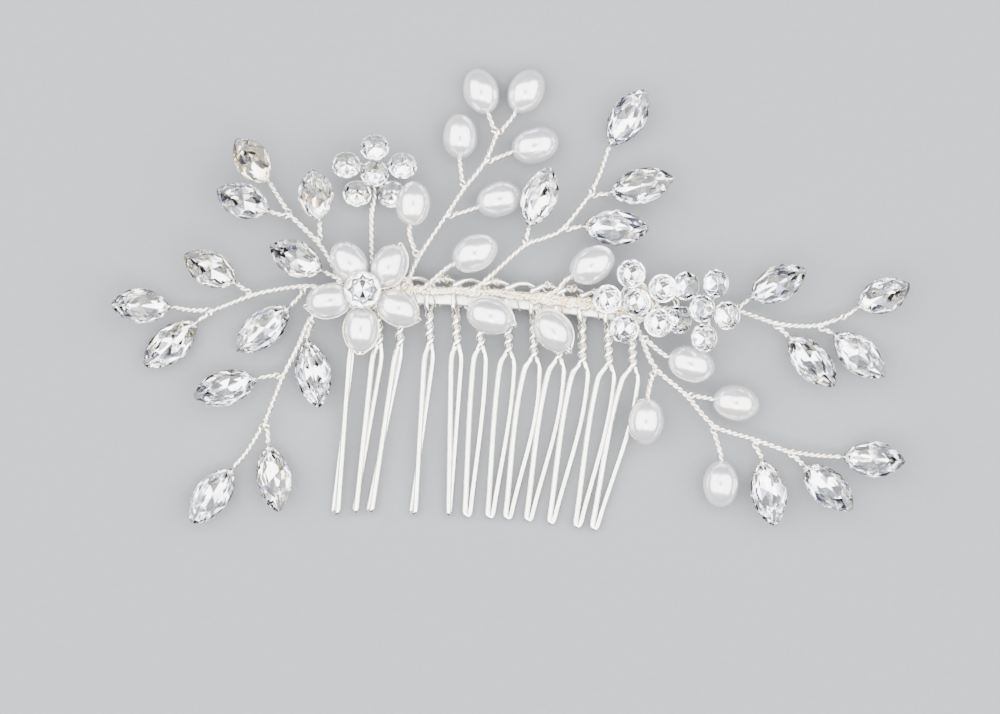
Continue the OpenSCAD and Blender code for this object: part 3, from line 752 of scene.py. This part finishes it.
def make_binding():
    """Stem ends laid along the bar's front, and the fine wire that binds them to it."""
    shape = Shape()
    lanes = ((1.05, -21.5, 23.5), (0.5, -20, 24.5), (0, 7, 24.5))
    for lane, (height, first, last) in enumerate(lanes):
        points = []
        for i in range(24):
            x = first + i * (last - first) / 23
            wobble = 0.18 * math.sin(1.7 * i + 2 * lane)
            points.append((x, arch_y(x) + height + wobble, 4.62 + 0.15 * math.sin(2.3 * i + lane)))
        add_stem(shape, on_comb(points), pitch=1.7)
        add_winding(shape, smooth_path(on_comb(points), 0.3), 0.52, 0.7 * (last - first))
    points, x = [], -22.5
    while x < 23.5:
        y = arch_y(x)
        pitch = rng.uniform(2.6, 4)
        points += [
            (x, y + 1.75, 4.7),
            (x + 0.10 * pitch, y + 1.0, 5.25),
            (x + 0.25 * pitch, y - 0.3, 4.75),
            (x + 0.38 * pitch, y - 1.7, 3.75),
            (x + 0.50 * pitch, y - 1.8, 2.5),
            (x + 0.70 * pitch, y, 2.3),
            (x + 0.90 * pitch, y + 1.75, 2.35),
        ]
        x += pitch
    add_tube(shape, smooth_path(on_comb(points), 0.22), FINE_D, 7)
    for i in (3, 5, 7, 8, 9):
        middle = (TEETH[i][0] + TEETH[i + 1][0]) / 2
        top = arch_y(middle) + BAR_HEIGHT / 2 + ARCH_HEIGHT
        knot = on_comb([(middle - 0.8, top - 0.5, BAR_RISE + 1),
                        (middle, top + 0.15, BAR_RISE + 0.7),
                        (middle + 0.7, top - 0.2, BAR_RISE + 0.4)])
        add_winding(shape, smooth_path(knot, 0.2), 0.6, 3)
    make_piece("binding_wire_wound", shape, [FINE_WIRE], ["binding_wire"])


# ---------------------------------------------------------------- stems
def crystal_eye(name):
    """The strand's loop through a crystal's hole and round its pointed base."""
    _, x, y, z, heading, tilt, roll = CRYSTAL[name]
    local = [(-0.55, 0, 0.1), (-0.3, 0, 0.3), (0.2, 0, 0.62), (0.8, 0, 0.8), (1.15, 0, 0.35),
             (1.15, 0, -0.35), (0.8, 0, -0.85), (0.2, 0, -0.68), (-0.3, 0, -0.3),
             (-0.55, 0, -0.1)]
    return np.array(local) @ turned(heading, tilt, roll).T + (x, y, z)


def branch_points(points, target):
    """A branch's line, ended at its crystal's eye or inside its pearl's hole."""
    if target in CRYSTAL:
        _, x, y, z, heading, tilt, _ = CRYSTAL[target]
        return list(points) + [np.array([x, y, z]) - 0.4 * ahead(heading, tilt)]
    _, x, y, z, heading = PEARL[target]
    base = np.array([x, y, z]) - PEARL_LENGTH / 2 * ahead(heading)
    reach = STEM_STRAIGHT_BAR if target.startswith("pearl_bar") else STEM_STRAIGHT
    return list(points) + [base - reach * ahead(heading), base + STEM_INSIDE * ahead(heading)]


def pearl_return(target, side):
    """The strand that leaves a pearl's far end and comes back round its side to its stem."""
    _, x, y, z, heading = PEARL[target]
    size = LARGER_PEARLS.get(target, 1)
    return size * np.array(round_pearl(side)) @ turned(heading).T + (x, y, z)


def round_pearl(side):
    """From a knot at a pearl's far end, down its side just below the middle, to its drilled end."""
    half, r = PEARL_LENGTH / 2, PEARL_D / 2
    points = [(half - 0.6, 0, 0), (half + 0.25, -0.1 * side, 0.25), (half + 0.35, 0.25 * side, 0)]
    for share in (0.12, 0.25, 0.4, 0.55, 0.7, 0.85):
        a = math.pi * share
        points.append((1.01 * half * math.cos(a), 1.01 * side * r * math.sin(a),
                       -0.28 * r * math.sin(a)))
    points.append((-half - 0.3, 0.3 * side, -0.1))
    return points


def make_stems():
    for node, trunks, branches in STEMS:
        shape = Shape()
        for trunk in trunks:
            add_stem(shape, on_layout(trunk))
        for points, target in branches:
            add_stem(shape, on_layout(branch_points(points, target)), rng.uniform(-0.05, 0.05),
                     fork=bool(trunks))
            if target in CRYSTAL:
                add_tube(shape, smooth_path(on_layout(crystal_eye(target)), 0.15), STRAND_D)
            if target.startswith("pearl_bar"):
                line = on_layout(pearl_return(target, -1))
                add_tube(shape, smooth_path(line, 0.2), PEARL_WIRE_D)
        if node == "stem_wire_upper_flower":
            add_flower_star(shape, FLOWERS[0])
        make_piece(node + "_twisted", shape, [SILVER_STEM], [node])


# ---------------------------------------------------------------- stones
def cut_stone(outline, centre_x, crown, pavilion, cut):
    """A cut stone from its 16 girdle points: table, crown facets, girdle, and three tiers of back
    facets that meet in a point. Returns its vertices and faces."""
    table, belts, point = cut

    def ring(points, along, across, height):
        return [(centre_x + along * (x - centre_x), across * y, height) for x, y in points]

    verts = (ring(outline, 1, 1, GIRDLE_HALF) + ring(outline, 1, 1, -GIRDLE_HALF)
             + ring(outline[::2], *table, crown)
             + ring(outline[::2], *belts[0][:2], -belts[0][2] * pavilion)
             + ring(outline[1::2], *belts[1][:2], -belts[1][2] * pavilion)
             + [(centre_x, 0, -point * pavilion)])
    inner, lower, deep, culet = 32, 40, 48, 56
    faces = [[inner + j for j in range(8)]]
    for j in range(8):
        k = (j + 1) % 8
        before, here, after, beyond = (2 * j - 1) % 16, 2 * j, 2 * j + 1, 2 * k
        for rim, inside in ((0, inner), (16, lower)):
            faces.append([inside + j, rim + before, rim + here])
            faces.append([inside + j, rim + here, rim + after])
            faces.append([inside + j, rim + after, inside + k])
        faces.append([lower + j, lower + k, deep + j])
        faces.append([lower + k, deep + j, deep + k])
        faces.append([culet, deep + j, deep + k])
        faces.append([here, after, 16 + after, 16 + here])
        faces.append([after, beyond, 16 + beyond, 16 + after])
    return verts, faces


def leaf_outline():
    """Sixteen points of a pointed oval with slightly blunt ends, at x = 0 and x = its length."""
    side = []
    fullness = 0.78
    for i in range(9):
        u = math.sin(math.radians(i - 4) * 22.5)
        side.append((LEAF_LENGTH / 2 * (1 + u), LEAF_WIDTH / 2 * (1 - u * u) ** fullness))
    return side + [(x, -y) for x, y in side[-2:0:-1]]


def finish_stone(piece, up, seed, warm=0):
    """Gives the back facets the foil, and every facet its own shade. The shades are partly painted
    reflection: facets that draw a grey or slate shade look as if they mirrored dark surroundings.
    warm is the share of facets that look champagne-coloured."""
    mesh = piece.data
    up = Vector(up)
    back = -0.2
    facet = mesh.attributes.new("facet", "FLOAT", "FACE")
    shades = {}
    pick = random.Random(seed)
    for polygon in mesh.polygons:
        key = tuple(round(c, 2) for c in polygon.normal)
        if key not in shades:
            # Painted reflection: a random shade for each facet direction, so some back facets come
            # out grey or dark slate as if they mirrored dark surroundings.
            shades[key] = pick.random()
            if warm and pick.random() < warm:
                shades[key] = CHAMPAGNE + 0.02
        facet.data[polygon.index].value = shades[key]
        polygon.material_index = 1 if polygon.normal.dot(up) < back else 0


def make_leaf_crystals():
    outline = leaf_outline()
    for number, (name, x, y, z, heading, tilt, roll) in enumerate(CRYSTALS):
        verts, faces = cut_stone(outline, LEAF_MIDDLE, LEAF_CROWN, LEAF_PAVILION, LEAF_CUT)
        spin = turned(heading, tilt, roll)
        shape = Shape()
        shape.add(on_layout(np.array(verts) @ spin.T + (x, y, z)), faces)
        piece = make_piece(name + "_cut", shape, [GLASS, FOIL_WITH_PAINTED_REFLECTIONS], [name], False)
        finish_stone(piece, facing(spin), number, WARM_CRYSTALS.get(name, 0))


def round_outline(diameter):
    return [(diameter / 2 * math.cos(math.pi * i / 8), diameter / 2 * math.sin(math.pi * i / 8))
            for i in range(16)]


def setting_profile(diameter, pavilion):
    """Section of the thin cup under a round stone: outside, lip and inside."""
    r = diameter / 2
    return [(0, -pavilion - 0.25), (0.35 * r, -pavilion - 0.2), (0.95 * r, -0.5),
            (r - 0.02, -0.22), (r - 0.08, -0.2), (0.88 * r, -0.48), (0.3 * r, -pavilion - 0.08),
            (0, -pavilion - 0.12)]


def make_crystal_flowers():
    for number, flower in enumerate(FLOWERS):
        name, x, y, z, _, _, first = flower
        spin = flower_turn(flower)
        stones, cups = Shape(), Shape()
        for i in range(PETALS + 1):
            middle = np.zeros(3)
            if i < PETALS:
                middle = ROUND_RING_R * ahead(first + i * 360 / PETALS)
            roll = turned(rng.uniform(0, 45), rng.uniform(-4, 4), rng.uniform(-4, 4))

            def place(points, middle=middle, roll=roll):
                return on_layout((points @ roll.T + middle) @ spin.T + (x, y, z))

            size = ROUND_D - (0.1 if i == PETALS else 0)
            verts, faces = cut_stone(round_outline(size), 0, ROUND_CROWN, ROUND_PAVILION,
                                     ROUND_CUT)
            stones.add(place(np.array(verts)), faces)
            add_lathe(cups, setting_profile(size, ROUND_PAVILION), 32, place)
        piece = make_piece(name + "_cut", stones, [GLASS, FOIL_WITH_PAINTED_REFLECTIONS], [name], False)
        finish_stone(piece, facing(spin), seed=100 + number)
        make_piece(name + "_settings", cups, [CUP_METAL])


def add_flower_star(shape, flower):
    """A hub of wire behind a crystal flower, with an arm under each stone."""
    _, x, y, z, _, _, first = flower
    behind = -ROUND_PAVILION - STRAND_D
    spin = flower_turn(flower)
    for i in range(PETALS):
        out = ROUND_RING_R * ahead(first + i * 360 / PETALS)
        arm = [(0, 0, behind), out * 0.5 + (0, 0, behind + 0.1), out + (0, 0, behind + 0.1)]
        line = on_layout(np.array(arm) @ spin.T + (x, y, z))
        add_tube(shape, smooth_path(line, 0.25), STRAND_D)


def add_tangle(shape, x, y, reach, low, high, loops, seed):
    """Loose turns of fine wire round a flower's hub."""
    pick = random.Random(seed)
    points = []
    for i in range(loops * 5):
        a = 2 * math.pi * i / 5 + pick.uniform(-0.4, 0.4)
        r = reach * pick.uniform(0.6, 1)
        points.append((x + r * math.cos(a), y + r * math.sin(a), pick.uniform(low, high)))
    add_tube(shape, smooth_path(on_layout(points), 0.25), FINE_D, 6)


def make_flower_wires():
    shape = Shape()
    for flower in FLOWERS[1:]:
        add_flower_star(shape, flower)
    for tangle in CRYSTAL_FLOWER_TANGLES:
        add_tangle(shape, *tangle)
    make_piece("crystal_flower_wires_wound", shape, [FINE_WIRE],
               ["crystal_flower_wires"])


# ---------------------------------------------------------------- pearls
def pearl_profile(seed):
    """Section of one rice pearl, base end first: a fine dimple round the drilled hole, a body a
    little fuller on one side of its middle, and a rounded far end."""
    pick = random.Random(seed)
    full = pick.uniform(-0.03, 0.05)
    half, r, bore, hole_depth = PEARL_LENGTH / 2, PEARL_D / 2, PEARL_BORE_D / 2, 2.2
    profile = [(0, -half + hole_depth), (bore * 0.9, -half + hole_depth),
               (bore * 0.9, -half + 0.5), (bore, -half + 0.22)]
    start = math.asin(bore * 1.25 / r)
    steps = 26
    for i in range(steps + 1):
        a = start + i * (math.pi - start) / steps
        swell = 1 + full * math.cos(a) * math.sin(a) + 0.012 * math.sin(5 * a + seed)
        profile.append((max(r * math.sin(a) * swell, 0), -half * math.cos(a)))
    profile[-1] = (0, half)
    return profile


def add_pearl(shape, middle, heading, seed, size=1):
    upright = np.array([[0, 0, 1], [0, 1, 0], [-1, 0, 0]])
    spin = turned(heading, 0, 40 * seed)

    def place(points):
        return on_layout(size * points @ upright.T @ spin.T + np.array(middle))

    add_lathe(shape, pearl_profile(seed), 48, place)


def make_pearls():
    for number, (name, x, y, z, heading) in enumerate(PEARLS):
        shape = Shape()
        add_pearl(shape, (x, y, z), heading, number, LARGER_PEARLS.get(name, 1))
        make_piece(name + "_nacre", shape, [NACRE], [name])


def make_pearl_flower():
    petals, wires = Shape(), Shape()
    centre = np.array(PEARL_FLOWER)
    for i, (place, outward, height, heading, sides) in enumerate(PETAL_PEARLS):
        middle = centre + (PETAL_RING_R + outward) * ahead(place) + (0, 0, height)
        add_pearl(petals, middle, heading, seed=20 + i)
        inner = middle - (PEARL_LENGTH / 2 - STEM_INSIDE) * ahead(heading)
        add_stem(wires, on_layout([centre, inner]))
        for side in sides:
            line = np.array(round_pearl(side)) @ turned(heading).T + middle
            add_tube(wires, smooth_path(on_layout(line), 0.2), PEARL_WIRE_D, 7)
    for tangle in PEARL_FLOWER_TANGLES:
        add_tangle(wires, *tangle)
    make_piece("pearl_flower_petals_nacre", petals, [NACRE], ["pearl_flower_petals"])
    make_piece("pearl_flower_wire_wound", wires, [FINE_WIRE], ["pearl_flower_wire"])


def make_cup_and_stone():
    """The pearl flower's centre: a thin cup with a scalloped lip, and its round crystal."""
    cup, stone = Shape(), Shape()
    base = np.array(PEARL_FLOWER) + CUP_SHIFT + (0, 0, CUP_FLOOR)
    r = CENTRE_STONE_D / 2

    def place(points):
        around = np.arctan2(points[:, 1], points[:, 0])
        lip = np.clip(points[:, 2] - CUP_H, 0, 1)
        points = points.copy()
        points[:, 2] += lip * 0.6 * np.abs(np.sin(8 * around))
        return on_layout(points + base)

    profile = [(0, 0), (0.4 * r, 0), (0.8 * r, 0.9), (r + 0.03, CUP_H - 0.1),
               (r + 0.06, CUP_H + 0.08), (r + 0.012, CUP_H + 0.1), (r + 0.012, CUP_H - 0.06),
               (0.75 * r, 1.05), (0.4 * r, 0.24), (0, 0.24)]
    add_lathe(cup, profile, 96, place)
    make_piece("pearl_flower_cup_rim", cup, [CUP_METAL], ["pearl_flower_cup"])
    verts, faces = cut_stone(round_outline(CENTRE_STONE_D), 0, CENTRE_CROWN, CENTRE_PAVILION,
                             CENTRE_CUT)
    stone.add(on_layout(np.array(verts) + base + (0, 0, CUP_H + 0.1)), faces)
    piece = make_piece("pearl_flower_stone_cut", stone, [GLASS, FOIL_WITH_PAINTED_REFLECTIONS],
                       ["pearl_flower_stone"], False)
    finish_stone(piece, (0, 0, 1), seed=200)


# ---------------------------------------------------------------- stage
def make_stage():
    """A plain grey floor, a dim room that is warm towards the tooth tips and cool the other way,
    and four softboxes overhead with a hole between them."""
    size = 2.5
    mesh = bpy.data.meshes.new("studio_floor")
    mesh.from_pydata([(-size, -size, 0), (size, -size, 0), (size, size, 0), (-size, size, 0)],
                     [], [[0, 1, 2, 3]])
    mesh.materials.append(floor_material())
    floor = bpy.data.objects.new("studio_floor", mesh)
    floor.location.z = cad_low.z - 0.02 * MM
    bpy.context.scene.collection.objects.link(floor)

    world = bpy.data.worlds.new("studio")
    world.use_nodes = True
    tree = world.node_tree
    direction = tree.nodes.new("ShaderNodeTexCoord")
    split = tree.nodes.new("ShaderNodeSeparateXYZ")
    tree.links.new(direction.outputs["Generated"], split.inputs["Vector"])
    side = tree.nodes.new("ShaderNodeMapRange")
    side.inputs["From Min"].default_value = -0.8
    side.inputs["From Max"].default_value = 0.8
    tree.links.new(split.outputs["Y"], side.inputs["Value"])
    tints = [(0, (1, 0.94, 0.82)), (0.5, (0.84, 0.86, 0.92)), (1, (0.70, 0.74, 0.96))]
    tree.links.new(add_ramp(tree, side.outputs["Result"], tints),
                   tree.nodes["Background"].inputs["Color"])
    tree.nodes["Background"].inputs["Strength"].default_value = 0.34
    bpy.context.scene.world = world

    # Name, size and place in metres, power in watts, turn in degrees.
    lamps = (
        ("softbox_left", (1.35, 1.7), 62, (-0.75, 0.05, 0.8), (0, -28, 5)),
        ("softbox_right", (1.35, 1.7), 62, (0.75, 0.05, 0.8), (0, 28, -5)),
        ("strip_far", (0.3, 0.6), 6, (0, 0.5, 1.1), (-12, 0, 0)),
        ("strip_near", (0.3, 0.6), 6, (0, -0.56, 1.1), (12, 0, 0)),
    )
    for name, size, power, place, turn in lamps:
        lamp = bpy.data.lights.new(name, "AREA")
        lamp.shape = "RECTANGLE"
        lamp.size, lamp.size_y = size
        lamp.energy = power
        light = bpy.data.objects.new(name, lamp)
        light.location = place
        light.rotation_euler = [math.radians(a) for a in turn]
        light.visible_camera = False
        bpy.context.scene.collection.objects.link(light)


def make_camera():
    """Straight above the comb, turned with the ornament."""
    aim = on_layout(VIEW_MIDDLE)[0] * MM
    data = bpy.data.cameras.new("camera")
    data.sensor_width = 36
    data.lens = data.sensor_width * CAMERA_DISTANCE / VIEW_WIDTH
    camera = bpy.data.objects.new("camera", data)
    camera.location = Vector(aim) + Vector((0, 0, CAMERA_DISTANCE))
    camera.rotation_euler = (0, 0, LAYOUT_TURN)
    bpy.context.scene.collection.objects.link(camera)
    bpy.context.scene.camera = camera


make_camera()
make_bar()
make_comb_wire()
make_binding()
make_stems()
make_leaf_crystals()
make_crystal_flowers()
make_flower_wires()
make_pearls()
make_pearl_flower()
make_cup_and_stone()
make_stage()
